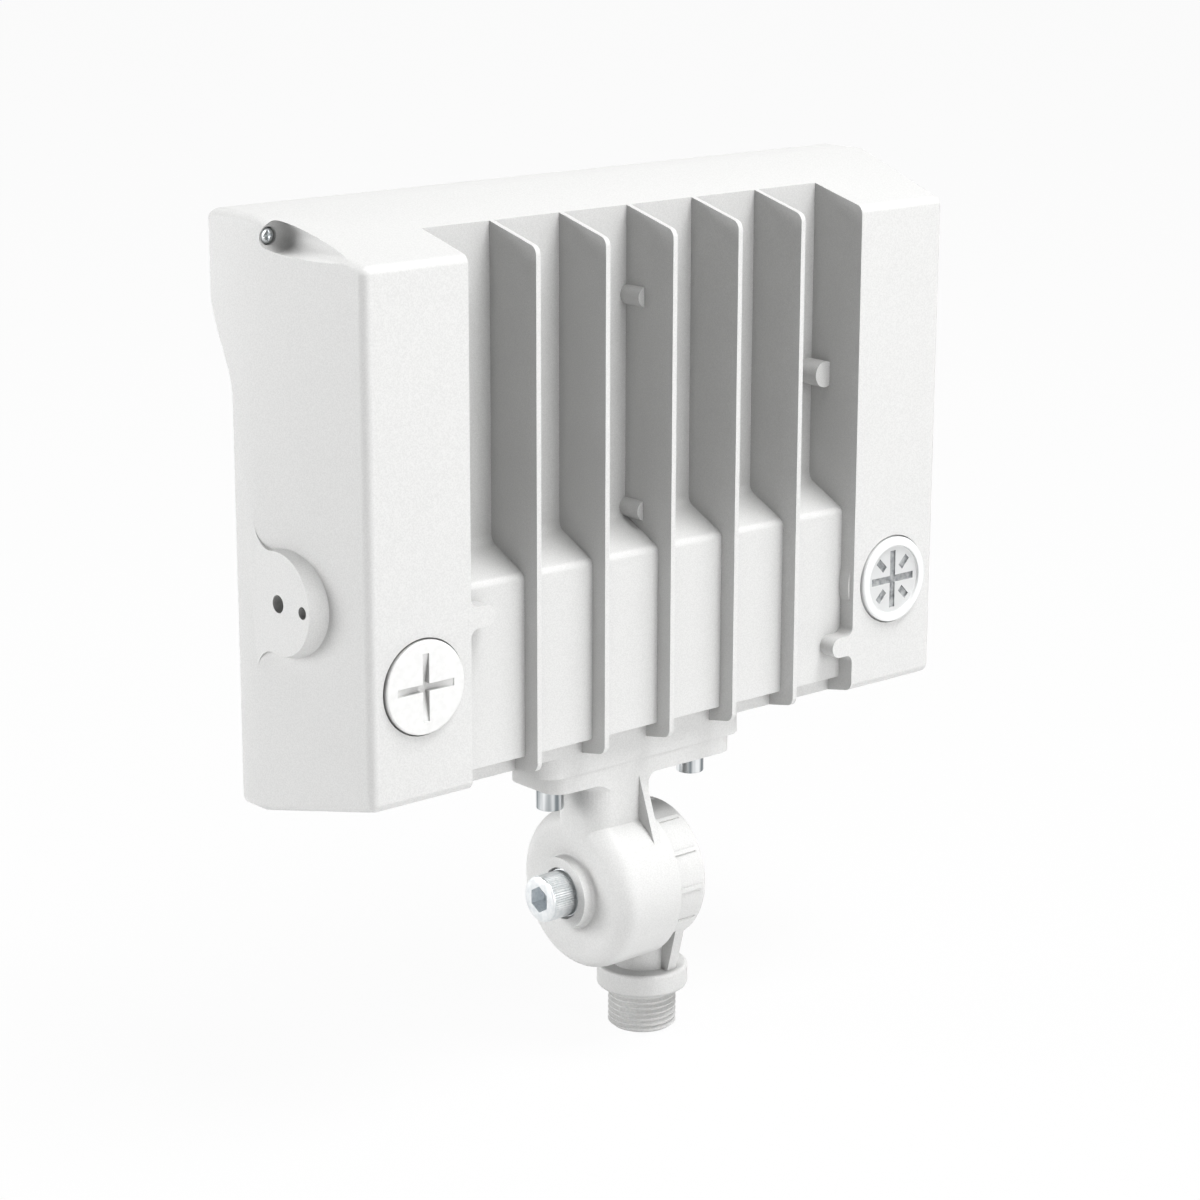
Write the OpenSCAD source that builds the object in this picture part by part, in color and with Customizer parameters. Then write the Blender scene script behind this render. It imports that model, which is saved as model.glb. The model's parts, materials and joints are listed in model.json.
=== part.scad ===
// Outdoor flood light on a tilting knuckle with a threaded stem, in millimetres.
// Origin: middle of the stem's shoulder, where the male thread leaves the collar.
// +Z is up, the light shines towards -Y and the knuckle tilts about the X direction.

/* [Housing] */
// Width of the housing's rim
rim_w = 240; // [220:1:300]
// Height of the housing's rim
rim_h = 172; // [165:1:220]
// How much each end of the back face is drawn in from the rim
side_taper = 7.8; // [5:0.1:11]
// How much the back face is drawn in at the bottom
bottom_taper = 7.7; // [5:0.1:11]
// How much the back face is drawn in at the top
top_taper = 10.3; // [8:0.1:14]
// Depth from the back face to the crease where the straight rim begins
taper_d = 42.2; // [40:0.1:60]
// Depth of the straight rim below the brow
rim_d = 9; // [7:0.1:14]
// How far the brow stands out in front of the rim
brow_reach = 9.4; // [4:0.1:16]
// Height of the brow's upright front
brow_h = 23.1; // [12:0.1:40]
// Height of the S-shaped sweep below the brow's front
sweep_h = 30; // [15:0.5:50]
// Radius of the housing's outer edges
edge_r = 3; // [1.5:0.1:4]
// Thickness of the cast walls
wall_t = 2.6; // [2:0.1:3.5]
// Width of the solid ledge that carries the front frame
ledge_w = 9.6; // [9:0.1:12]

/* [Heat sink] */
// Number of free fins between the two end caps
fin_n = 5; // [3:1:9]
// Thickness of a fin
fin_t = 1.65; // [1.2:0.05:3]
// Depth of the channels between the fins
fin_d = 20.7; // [16:0.1:24]
// Width of the end cap's land between a port and the fins
cap_land = 3.4; // [2.5:0.1:8]
// Thickness of the base that the fins stand on
base_t = 3; // [2:0.1:4]
// Radius of the two small bosses under the middle fin
stud_r = 3.1; // [2:0.1:5]
// Radius of the boss beside the end cap
stud_side_r = 4.1; // [2:0.1:6]
// Length of these bosses
stud_h = 8.1; // [3:0.1:12]

/* [Driver step] */
// Height of the step's upper edge over the back face's lower edge
step_top = 58.5; // [54:0.5:80]
// Height of the step's lower edge
step_bottom = 3.9; // [2:0.1:8]
// Depth of the step's face in front of the back face
step_in = 5.7; // [3:0.1:8]
// Depth of the lower band in front of the back face
band_in = 10.4; // [9:0.1:14]
// Height of the sloping shoulder above the step
shoulder_h = 7.3; // [4:0.1:12]
// Radius of the step's upper edge
step_r = 2.5; // [1:0.1:4]
// Radius of the hollow where the shoulder meets the base
root_r = 3.5; // [1:0.1:6]

/* [Side boss] */
// Radius of the round boss on each end
boss_r = 15; // [12:0.5:18]
// Depth of the boss centre in front of the back face
boss_in = 31.5; // [28:0.1:34]
// Height of the boss centre over the back face's lower edge
boss_z = 56.2; // [40:0.1:90]
// Radius of the fillets where the boss meets the crease
boss_fillet = 7; // [2:0.1:8]
// How much the boss widens from its face to its root
boss_draft = 2.6; // [0.5:0.1:4]
// Radius of the tapped accessory hole
hole_r = 2.6; // [1.5:0.1:3]
// Radius of the small locating hole
pilot_r = 1.8; // [1:0.1:2.2]
// Wall left behind both holes
hole_wall = 1.6; // [1:0.1:4]

/* [Ports] */
// Radius of the closing plug's and the clear cover's heads
port_r = 13.7; // [13:0.1:16]
// Land between a port's head and the end of the back face
port_land = 5.2; // [3.4:0.1:8]
// Height of the ports over the back face's lower edge
port_z = 34.1; // [32:0.1:60]
// How far the heads stand proud of the back face
port_proud = 1.2; // [0.6:0.1:2.5]
// Width of the shoulder under the plug's and the cover's heads
port_shoulder = 2.7; // [2.3:0.1:4]
// Width of the slots of the cross recess
slot_w = 2.2; // [1.5:0.1:3]

/* [Front] */
// Width of the front frame's lip over the glass
lip_w = 13; // [12:0.5:20]
// Thickness of the glass
glass_t = 4; // [3:0.5:5]
// Thickness of the reflector's wall
reflector_t = 1; // [0.8:0.1:2]

/* [Light engine] */
// Distance from the end of the board that carries the light sources to the end cap
board_side = 8.2; // [6:0.1:25]
// Distance from the board's top to the top of the hollow
board_top_gap = 11.7; // [10.9:0.1:25]
// Distance from the board's lower edge to the driver step
board_low_gap = 5.2; // [1:0.1:15]
// Thickness of the board
board_t = 1.6; // [1:0.1:3]
// Thickness of the heat-conducting pad
pad_t = 0.5; // [0.3:0.1:1]
// Number of light sources side by side
led_cols = 10; // [4:1:14]
// Number of rows of light sources
led_rows = 5; // [2:1:7]
// Side of a light source
led_w = 3; // [2:0.1:5]
// Distance from the end of the driver to the end cap
driver_side = 17.2; // [14.5:0.1:35]
// Gap above the driver
driver_top_gap = 2.4; // [1:0.1:8]
// Gap below the driver
driver_low_gap = 4.5; // [1:0.1:8]
// Gap between the driver and the reflector
driver_front_gap = 5.9; // [2:0.1:12]

/* [Arm] */
// Distance from the stem's axis to the middle of the housing
head_x = 9.1; // [6:0.1:12]
// Distance from the stem's axis back to the back face
back_y = 23; // [20:0.5:26]
// Room between the arm's flange and its cup for the screws' heads
screw_room = 11.2; // [9:0.1:30]
// How far the mounting pad reaches past each end of the flange
foot_side = 3.5; // [2:0.1:15]
// How far the mounting pad reaches past the flange's front
foot_front = 1; // [0.5:0.1:4]
// Drop of the mounting pad's underside below the back face's lower edge
foot_drop = 8.1; // [8:0.1:12]
// Clearance between a flange screw's head and the fillet at the neck
screw_clear = 0.55; // [0.4:0.05:6]
// Front to back size of the arm's flange
flange_d = 24.2; // [22:0.1:25]
// Thickness of the arm's flange
flange_t = 5.4; // [4:0.1:8]
// Distance from a flange screw to the flange's end
flange_screw_in = 8; // [6:0.1:12]
// Thread radius of the flange screws
flange_screw_r = 2.5; // [2:0.1:3]
// Width of the neck, along the tilt axis
neck_w = 20.8; // [18:0.1:22]
// How far the neck's front stays behind the flange's front
neck_in = 2.5; // [1:0.1:5]

/* [Knuckle] */
// Gap between the collar and the arm's round cup
cup_lift = 4.9; // [4.5:0.1:15]
// Outer radius of the cup
cup_r = 25.3; // [23:0.1:30]
// Length of the cup
cup_l = 22.9; // [21:0.1:30]
// Radius of the cup's rounded shoulder
cup_edge_r = 6; // [2:0.1:7]
// How much smaller the stem's round disc is than the cup, in radius
disc_step = 3; // [2.5:0.1:4]
// Length of the disc
disc_l = 13.5; // [13:0.1:16]
// Distance from the stem's axis to the disc's face
disc_face_x = 6.1; // [5:0.1:7]
// Running gap between the disc and the cup
knuckle_gap = 0.4; // [0.3:0.05:0.8]
// Radius of the pivot bolt's shank
bolt_r = 4.76; // [4:0.01:5]
// Radius of the pivot bolt's head
bolt_head_r = 7.15; // [6.5:0.05:7.4]
// Height of the pivot bolt's head
bolt_head_h = 9.5; // [8:0.1:12]
// Width across the flats of the bolt's hexagon socket
bolt_socket = 7.3; // [5:0.1:8]

/* [Stem] */
// Outer radius of the pipe thread
thread_r = 10.67; // [10:0.01:11]
// Pitch of the pipe thread
thread_pitch = 1.814; // [1.5:0.001:2]
// Length of the threaded part
thread_l = 13.1; // [12:0.1:20]
// Radius of the bore for the wires
wire_r = 7; // [5:0.1:7.5]
// How far the collar stands out from the thread
collar_step = 3.58; // [3:0.01:6]
// Height of the collar
collar_h = 7.3; // [6:0.1:8]
// How far the stem's neck is drawn in from the collar
stem_step = 4.9; // [3:0.05:5.5]

/* [Hidden] */
$fn = 64;

// Overrun of the cuts, and clearances
over = 1;
fit = 0.08;
loose = 0.3;
seat = 0.05;
// Faces of a rounded hull's balls
ball_fn = 32;
skin = 0.01;

// Colours, as they show
white_coat = "#f4f5f4";
plain_white = "#eeeeec";
silver = "#c9cccd";
black = "#26282a";
clear = "#e8f1f4";
board_white = "#e9ebe6";
led_yellow = "#e8c84a";
board_green = "#2f6b46";
grey_pad = "#9aa0a6";

// Sizes that follow from the ones above
port_thread_r = port_r - port_shoulder;
cap_w = 2 * port_r + port_land + cap_land;
back_w = rim_w - 2 * side_taper;
back_h = rim_h - bottom_taper - top_taper;
rim_bottom = -bottom_taper;
rim_top = back_h + top_taper;
front_in = taper_d + rim_d;
brow_in = front_in + brow_reach;
fin_pitch = (back_w - 2 * cap_w + fin_t) / (fin_n + 1);
channel_half = back_w / 2 - cap_w;
floor_in = fin_d + base_t;
sweep_top = rim_top - brow_h;
sweep_bottom = sweep_top - sweep_h;
cavity_half = rim_w / 2 - ledge_w;
cavity_bottom = rim_bottom + ledge_w;
cavity_top = rim_top - ledge_w;
disc_back_x = disc_face_x - disc_l;
cup_x = disc_face_x + knuckle_gap;
cup_end_x = cup_x + cup_l;
wire_x = cup_end_x - neck_w / 2;
disc_r = cup_r - disc_step;
pivot_z = collar_h + cup_lift + cup_r;
head_z = cup_r + screw_room + flange_t + foot_drop;
head_lift = pivot_z + head_z;
port_x = back_w / 2 - port_land - port_r;
hole_d = ledge_w - hole_wall;

// Front recess that takes the frame, behind the rim's front
frame_lip = 3;
glass_pad_t = 0.7;
glass_play = 0.1;
frame_t = frame_lip + glass_pad_t + glass_t + glass_play;
frame_set = 0.5;
rim_wall = 2.2;
frame_in = front_in - frame_set - frame_t;
frame_half = rim_w / 2 - rim_wall - loose / 2;
frame_bottom = rim_bottom + rim_wall + loose / 2;
frame_top = rim_top - rim_wall - loose / 2;
frame_r = 2;
glass_back_in = frame_in + frame_t - frame_lip - glass_pad_t - glass_t;
glass_edge = 5;
glass_r = 10;
groove_w = 2.4;
groove_d = 1.6;
groove_inset = 1.3;
groove_r = 12;

// Corner screws of the frame, put in from behind
pocket_r = 4.6;
pocket_side = 4.98;
pocket_end = 6.1;
pocket_step = 2.7;
pocket_end_r = 4;
pocket_seat_d = 1.7;
pocket_x = rim_w / 2 - pocket_side;
pocket_z = rim_top - pocket_end;
pocket_low_z = rim_bottom + pocket_end;
pocket_in = taper_d - pocket_step;
seat_in = pocket_in + pocket_seat_d;
frame_screw_r = 1.5;
frame_screw_head_r = 2.3;
frame_screw_head_h = 2;
frame_screw_l = 9;

// Small hole's place in the side boss
pilot_land = 3.4;
pilot_drop = 0.3;
pilot_in = boss_in - boss_r + pilot_land;

// Tabs on the caps' inner edges
tab_r = 3.2;
tab_reach = 8.6;
tab_fillet = 2.5;
left_tab_z = 50.7;
right_tab_z = 15.4;

// Bosses on the heat sink's base: one above the other at the middle, one by the right cap
stud_top_gap = 21.6;
stud_lift = 2.4;
stud_side_gap = 1.9;
stud_high_z = back_h - stud_top_gap;
stud_low_z = step_top + shoulder_h + stud_lift;
stud_side_x = stud_side_gap - channel_half;
stud_side_z = (stud_high_z + stud_low_z) / 2;

// Ports in the back face
port_recess_t = 1.8;
port_gap = 0.5;
port_boss_in = 1;
port_boss_r = port_r + port_land - port_boss_in;
port_boss_t = 7.5;
port_thread_l = 5.2;
oring_mid_r = (port_r + port_thread_r) / 2;
oring_t = 1.4;
oring_w = 1.6;
plug_slot_half = 9.9;
plug_slot_t = 2.2;
slot_end_t = 0.4;
head_edge_share = 0.5;
cover_slot_t = 0.6;
long_slot_share = 0.84;
short_slot_share = 0.45;
cover_ring_w = 2.8;
cover_dish_t = 0.9;
cover_wall = 1.6;

// Selector board behind the clear cover
sel_board_in = 13;
sel_board_t = 1.6;
sel_board_w = 24;
sel_board_h = 46;
sel_post_r = 3;
sel_post_gap = 40;
switch_w = 9;
switch_h = 4.4;
switch_t = 3.6;
switch_gap = 7.4;
slider_w = 2.4;
slider_h = 1.8;
slider_t = 3;
slider_travel = 2;
slider_bite = 1.2;

// Small screws inside
small_r = 1.5;
small_head_r = 2.8;
small_head_h = 1.8;
small_l = 5;
board_inset = 5;
board_w = 2 * (channel_half - board_side);
board_top = cavity_top - board_top_gap;
board_bottom = step_top + shoulder_h + board_low_gap;
board_h = board_top - board_bottom;
board_mid_z = (board_top + board_bottom) / 2;
led_t = 0.8;
led_margin = 15;
well_throat = 0.6;
well_mouth = 9;
bite_share = 0.75;
recess_len_share = 1.3;
recess_w_share = 0.22;

// Driver
driver_ear = 8;
driver_plate_t = 1.5;
driver_back = step_in + wall_t + small_l;
driver_w = 2 * (channel_half - driver_side);
driver_top = step_top - step_r - wall_t - driver_top_gap;
driver_bottom = step_bottom + wall_t + driver_low_gap;
driver_h = driver_top - driver_bottom;
driver_mid_z = (driver_top + driver_bottom) / 2;
driver_d = glass_back_in - loose - reflector_t - driver_front_gap - driver_back - driver_plate_t;

// Mounting pad, flange and their screws
foot_r = 6;
foot_wire_r = 6;
flange_in = 10.8;
foot_in = flange_in + flange_d + foot_front;
neck_d = flange_d - neck_in;
flange_mid_y = -flange_in - flange_d / 2;
flange_z = -foot_drop;
flange_screw_l = 15;
flange_head_r = 4.25;
flare_r = 3.4;
flange_pitch = 2 * (cup_end_x - head_x + flare_r + flange_head_r + screw_clear);
flange_w = flange_pitch + 2 * flange_screw_in;
foot_w = flange_w + 2 * foot_side;
flange_head_h = 6.7;
flange_socket = 4;
flange_washer_t = 1.3;
gasket_r = 10;
gasket_w = 3;
gasket_t = 1.2;
screw_play = 0.25;
head_edge = 0.5;
neck_r = 7;
gusset_t = 2.4;
gusset_x = 11.3;
gusset_angle = 39.7;
arm_wire_r = 5;
wire_floor = 3;

// Knuckle
cup_floor = 7;
seal_in = 2.3;
seal_mid_r = disc_r - seal_in;
hollow_wall = 2.5;
cup_hollow_r = seal_mid_r - hollow_wall;
hub_r = 9;
washer_step = 0.45;
ring_wall = 3.2;
washer_r = bolt_head_r + washer_step;
counter_r = washer_r + washer_step;
boss_ring_r = counter_r + ring_wall;
boss_ring_h = 3.9;
boss_foot = 0.8;
counter_d = 1.9;
washer_t = 1;
bolt_seat_x = cup_end_x + boss_ring_h - counter_d + washer_t;
bolt_set = 1.7;
bolt_tip_x = disc_back_x + bolt_set;
socket_d = 5;
disc_edge_r = 2.5;
disc_wall = 3;
mark_n = 12;
mark_h = 0.5;
mark_w = 1.3;
flat_mid = 76;
flat_half = 14;
seal_w = 2.2;
seal_d = 1.6;
rib_t = 3.6;
rib_x = -1.7;
rib_reach = 16.2;
rib_low_y = 12;
rib_high_z = 23.6;
neck_top_share = 0.6;
collar_edge_r = 1.2;
collar_r = thread_r + collar_step;
stem_r = collar_r - stem_step;
neck_top_z = pivot_z - disc_r * neck_top_share;
stem_wire_r = 4.2;
undercut_share = 0.2;
crest_share = 0.14;
thread_depth_share = 0.6;
relief_t = 0.4;

// Points on an arc from angle a0 to a1
function arc(cx, cy, r, a0, a1, n = 8) =
    [for (i = [0:n]) let (a = a0 + (a1 - a0) * i / n) [cx + r * cos(a), cy + r * sin(a)]];

// A rectangle with round corners, from its lower left corner
module round_rect(w, h, r) {
    polygon(concat(arc(w - r, r, r, -90, 0), arc(w - r, h - r, r, 0, 90),
        arc(r, h - r, r, 90, 180), arc(r, r, r, 180, 270)));
}

// A round-cornered block, from depth d0 to depth d1 in front of the back face
module slab(x0, x1, z0, z1, d0, d1, r) {
    translate([x0, -d0, z0]) rotate([90, 0, 0])
        linear_extrude(d1 - d0) round_rect(x1 - x0, z1 - z0, r);
}

// A plain block between two corners
module block(lo, hi) {
    translate(lo) cube([hi[0] - lo[0], hi[1] - lo[1], hi[2] - lo[2]]);
}

// A cylinder along X, Y or Z that starts at a point
module rod_x(p, r, l) { translate(p) rotate([0, 90, 0]) cylinder(r = r, h = l); }
module rod_y(p, r, l) { translate(p) rotate([-90, 0, 0]) cylinder(r = r, h = l); }
module rod_z(p, r, l) { translate(p) cylinder(r = r, h = l); }

// An outline in Y and Z, drawn out along X
module along_x(x0, x1) {
    translate([x0, 0, 0]) rotate([90, 0, 90]) linear_extrude(x1 - x0) children();
}

// Puts a piece of the head in its place: X from the middle, Y from the back face, Z from its lower edge
module head() { translate([head_x, back_y, head_lift]) children(); }

// The tapered body with round edges, closed at the crease
module tapered_body() {
    hull() {
        for (x = [-1, 1], z = [edge_r, back_h - edge_r])
            translate([x * (back_w / 2 - edge_r), -edge_r, z]) sphere(r = edge_r, $fn = ball_fn);
        slab(-rim_w / 2, rim_w / 2, rim_bottom, rim_top, taper_d, taper_d + skin, edge_r);
    }
}

// The side view of the rim: straight below, then the S-shaped sweep up to the brow
module rim_profile() {
    sweep = [for (i = [0:16]) let (s = i / 16)
        [-front_in - brow_reach * (1 - cos(180 * s)) / 2, sweep_bottom + sweep_h * s]];
    brow_r = edge_r;
    polygon(concat([[-taper_d, rim_bottom], [-front_in, rim_bottom]], sweep,
        arc(-brow_in + brow_r, rim_top - brow_r, brow_r, 180, 90), [[-taper_d, rim_top]]));
}

module rim() {
    intersection() {
        along_x(-rim_w / 2, rim_w / 2) rim_profile();
        slab(-rim_w / 2, rim_w / 2, rim_bottom, rim_top, taper_d, brow_in + over, edge_r);
    }
}

// The side view of what the channels cut away behind the base and the driver step
module channel_profile() {
    slope = atan2(shoulder_h, fin_d - step_in);
    turn = (1 - sin(slope)) / cos(slope);
    polygon(concat(
        [[over, rim_bottom - over], [-band_in, rim_bottom - over], [-band_in, step_bottom],
            [-step_in, step_bottom]],
        arc(-step_in - step_r, step_top - step_r * turn, step_r, 0, 90 - slope),
        arc(-fin_d + root_r, step_top + shoulder_h + root_r * turn, root_r, 270 - slope, 180),
        [[-fin_d, rim_top + over], [over, rim_top + over]]));
}

module channels() {
    difference() {
        along_x(-channel_half, channel_half) channel_profile();
        for (i = [1:fin_n]) translate([(i - (fin_n + 1) / 2) * fin_pitch - fin_t / 2, 0, 0])
            block([0, -taper_d, rim_bottom - 2 * over], [fin_t, 2 * over, rim_top + 2 * over]);
    }
}

// The hollow inside: open to the front, deeper in the caps and behind the driver step
module cavity() {
    block([-cavity_half, -frame_in - over, cavity_bottom], [cavity_half, -floor_in, cavity_top]);
    for (s = [0, 1]) mirror([s, 0, 0])
        block([channel_half + wall_t, -floor_in - over, cavity_bottom],
            [cavity_half, -wall_t, back_h - 2 * wall_t]);
    block([-channel_half - wall_t - over, -floor_in - over, step_bottom + wall_t],
        [channel_half + wall_t + over, -step_in - wall_t, step_top - step_r - wall_t]);
}

module frame_recess() {
    slab(-rim_w / 2 + rim_wall, rim_w / 2 - rim_wall, rim_bottom + rim_wall, rim_top - rim_wall,
        frame_in, brow_in + over, frame_r);
}

// The boss outline on an end of the housing: a circle whose sides flare into the crease
module boss_outline() {
    reach = boss_r + boss_fillet;
    dy = taper_d - boss_fillet - boss_in;
    dz = sqrt(reach * reach - dy * dy);
    a = atan2(dz, dy);
    polygon(concat(
        arc(-taper_d + boss_fillet, boss_z + dz, boss_fillet, 180, 360 - a),
        arc(-boss_in, boss_z, boss_r, 180 - a, a - 180, 24),
        arc(-taper_d + boss_fillet, boss_z - dz, boss_fillet, a, 180)));
}

module side_boss() {
    along_x(rim_w / 2 - side_taper, rim_w / 2) boss_outline();
    intersection() {
        translate([rim_w / 2 - side_taper, -boss_in, boss_z]) rotate([0, 90, 0])
            cylinder(r1 = boss_r + boss_draft, r2 = boss_r, h = side_taper);
        block([cavity_half, -taper_d, boss_z - 2 * boss_r], [rim_w / 2, 0, boss_z + 2 * boss_r]);
    }
}

module side_holes() {
    rod_x([rim_w / 2 - hole_d, -boss_in, boss_z], hole_r, hole_d + over);
    rod_x([rim_w / 2 - hole_d, -pilot_in, boss_z - pilot_drop], pilot_r, hole_d + over);
}

// A tab that runs from a cap's inner edge, with round fillets at its root
module tab(z) {
    translate([0, -step_in, z]) rotate([90, 0, 0]) translate([0, 0, -step_in]) linear_extrude(step_in + over)
        polygon(concat([[over, tab_r + tab_fillet]],
            arc(-tab_fillet, tab_r + tab_fillet, tab_fillet, 0, -90),
            arc(-tab_reach + tab_r, 0, tab_r, 90, 270, 16),
            arc(-tab_fillet, -tab_r - tab_fillet, tab_fillet, 90, 0), [[over, -tab_r - tab_fillet]]));
}

module studs() {
    for (z = [stud_low_z, stud_high_z]) rod_y([0, -fin_d - over, z], stud_r, stud_h + over);
    rod_y([stud_side_x, -fin_d - over, stud_side_z], stud_side_r, stud_h + over);
}

// The mounting pad under the housing
module foot() {
    translate([-foot_w / 2, -foot_in, -foot_drop])
        linear_extrude(foot_drop + step_bottom) round_rect(foot_w, foot_in - band_in, foot_r);
}

module port_boss(x) {
    rod_y([x, -port_boss_t, port_z], port_boss_r, port_boss_t - wall_t + over);
}

module port_cut(x) {
    rod_y([x, -port_recess_t, port_z], port_r + port_gap, port_recess_t + over);
    rod_y([x, -port_boss_t - over, port_z], port_thread_r + fit, port_boss_t + over);
}

module selector_posts() {
    for (s = [-1, 1]) rod_y([-port_x, -sel_board_in, port_z + s * sel_post_gap / 2], sel_post_r,
        sel_board_in - wall_t + over);
}

module driver_posts() {
    for (s = [-1, 1]) rod_y([s * (driver_w + driver_ear) / 2, -step_in - wall_t - small_l, driver_mid_z],
        small_r + wall_t, small_l + over);
}

module board_holes(r, l, d) {
    for (x = [-1, 1], z = [-1, 1])
        rod_y([x * (board_w / 2 - board_inset), -d, board_mid_z + z * (board_h / 2 - board_inset)], r, l);
}

module corner_screw_places() {
    translate([pocket_x, 0, pocket_z]) children();
    translate([-pocket_x, 0, pocket_low_z]) children();
}

// A pocket with a round end, and the flat seat of its screw
module pocket() {
    translate([0, -pocket_in, 0]) rotate([-90, 0, 0]) rotate_extrude() polygon(concat([[0, 0]],
        arc(pocket_r - pocket_end_r, pocket_end_r, pocket_end_r, -90, 0),
        [[pocket_r, taper_d], [0, taper_d]]));
    rod_y([0, -seat_in, 0], frame_screw_head_r + loose, pocket_seat_d + pocket_end_r);
}

module housing() {
    color(white_coat) head() difference() {
        union() {
            difference() {
                union() {
                    difference() {
                        tapered_body();
                        channels();
                    }
                    rim();
                    foot();
                }
                cavity();
                frame_recess();
            }
            for (s = [0, 1]) mirror([s, 0, 0]) side_boss();
            translate([channel_half, 0, 0]) tab(left_tab_z);
            translate([-channel_half, 0, 0]) mirror([1, 0, 0]) tab(right_tab_z);
            studs();
            port_boss(port_x);
            port_boss(-port_x);
            selector_posts();
            driver_posts();
        }
        for (s = [0, 1]) mirror([s, 0, 0]) side_holes();
        port_cut(port_x);
        port_cut(-port_x);
        corner_screw_places() {
            pocket();
            rod_y([0, -frame_in - over, 0], frame_screw_r + fit, taper_d);
        }
        // Wire way through the mounting pad, its gasket's seat and the flange screws' holes
        rod_z([wire_x - head_x, flange_mid_y, -foot_drop - over], foot_wire_r,
            foot_drop + step_bottom + wall_t + 2 * over);
        rod_z([wire_x - head_x, flange_mid_y, -foot_drop - over], gasket_r, gasket_t + over);
        for (s = [-1, 1]) rod_z([s * flange_pitch / 2, flange_mid_y, -foot_drop - over],
            flange_screw_r + fit, flange_screw_l - flange_t - flange_washer_t + over + loose);
        for (s = [-1, 1]) rod_y([-port_x, -sel_board_in - over, port_z + s * sel_post_gap / 2],
            small_r + fit, small_l + over);
        for (s = [-1, 1]) rod_y([s * (driver_w + driver_ear) / 2, -step_in - wall_t - small_l - over,
            driver_mid_z], small_r + fit, small_l + over);
        board_holes(small_r + fit, base_t * bite_share + over, floor_in + over);
    }
}

module front_frame() {
    color(white_coat) head() difference() {
        slab(-frame_half, frame_half, frame_bottom, frame_top, frame_in, frame_in + frame_t, frame_r);
        inset_slab(lip_w, glass_r, frame_in - over, frame_in + frame_t + over);
        inset_slab(glass_edge, glass_r, frame_in - over, frame_in + frame_t - frame_lip);
        gasket_ring(frame_in - over, frame_in + groove_d);
        corner_screw_places() rod_y([0, -seat_in - frame_screw_l - loose, 0], frame_screw_r + fit,
            frame_screw_l);
    }
}

// A block inset from the front frame's outline
module inset_slab(inset, r, d0, d1) {
    slab(-frame_half + inset, frame_half - inset, frame_bottom + inset, frame_top - inset, d0, d1, r);
}

// The ring that the frame's gasket fills; it passes inside the corner screws
module gasket_ring(d0, d1) {
    difference() {
        inset_slab(groove_inset, groove_r, d0, d1);
        inset_slab(groove_inset + groove_w, groove_r - groove_w, d0 - over, d1 + over);
    }
}

module frame_gasket() { color(black) head() gasket_ring(frame_in, frame_in + groove_d - seat); }

module glass() {
    color(clear) head() inset_slab(glass_edge + loose, glass_r - loose, glass_back_in,
        glass_back_in + glass_t);
}

module glass_gasket() {
    color(black) head() difference() {
        inset_slab(glass_edge + loose, glass_r - loose, glass_back_in + glass_t,
            glass_back_in + glass_t + glass_pad_t);
        inset_slab(lip_w, glass_r, glass_back_in, glass_back_in + glass_t + 2 * glass_pad_t);
    }
}

// A pan-head screw that points down, its head on the plane z = 0, with a cross recess
module pan_screw(r, l, head_r, head_h) {
    difference() {
        union() {
            translate([0, 0, -l]) cylinder(r = r, h = l + head_h / 2);
            rotate_extrude() polygon(concat([[0, 0], [head_r, 0]],
                arc(head_r - head_h / 2, head_h / 2, head_h / 2, 0, 90), [[0, head_h]]));
        }
        for (a = [0, 90]) rotate([0, 0, a]) translate([0, 0, head_h])
            cube([head_r * recess_len_share, head_r * recess_w_share, head_h], center = true);
    }
}

// A screw whose head faces back or front, at a point
module screw_facing_back(p, r, l, head_r, head_h) {
    translate(p) rotate([-90, 0, 0]) pan_screw(r, l, head_r, head_h);
}
module screw_facing_front(p, r, l, head_r, head_h) {
    translate(p) rotate([90, 0, 0]) pan_screw(r, l, head_r, head_h);
}

module frame_screws() {
    color(silver) head() corner_screw_places()
        screw_facing_back([0, -seat_in, 0], frame_screw_r, frame_screw_l, frame_screw_head_r,
            frame_screw_head_h);
}

// Half sizes of the reflector's well at a growth beyond the board
module well_slice(grow, d) {
    slab(-board_w / 2 - grow, board_w / 2 + grow, board_mid_z - board_h / 2 - grow,
        board_mid_z + board_h / 2 + grow, d, d + skin, frame_r);
}

module reflector() {
    back = floor_in + loose;
    front = glass_back_in - loose;
    color(plain_white) head() difference() {
        union() {
            slab(-cavity_half + loose, cavity_half - loose, cavity_bottom + loose, cavity_top - loose,
                front - reflector_t, front, frame_r);
            hull() {
                well_slice(well_throat + reflector_t, back);
                well_slice(well_mouth + reflector_t, front - skin);
            }
        }
        hull() {
            well_slice(well_throat, back - skin);
            well_slice(well_mouth, front + skin);
        }
    }
}

module board_outline(d0, d1, r) {
    difference() {
        slab(-board_w / 2, board_w / 2, board_mid_z - board_h / 2, board_mid_z + board_h / 2,
            d0, d1, frame_r);
        board_holes(r, d1 - d0 + 2 * over, d1 + over);
    }
}

module thermal_pad() { color(grey_pad) head() board_outline(floor_in, floor_in + pad_t, small_r + loose); }

module led_board() {
    color(board_white) head()
        board_outline(floor_in + pad_t, floor_in + pad_t + board_t, small_r + fit);
}

module leds() {
    face = floor_in + pad_t + board_t;
    dx = (board_w - 2 * led_margin) / (led_cols - 1);
    dz = (board_h - 2 * led_margin) / (led_rows - 1);
    color(led_yellow) head() for (i = [0:led_cols - 1], j = [0:led_rows - 1])
        translate([-board_w / 2 + led_margin + i * dx, 0, board_mid_z - board_h / 2 + led_margin + j * dz])
            block([-led_w / 2, -face - led_t, -led_w / 2], [led_w / 2, -face, led_w / 2]);
}

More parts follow.
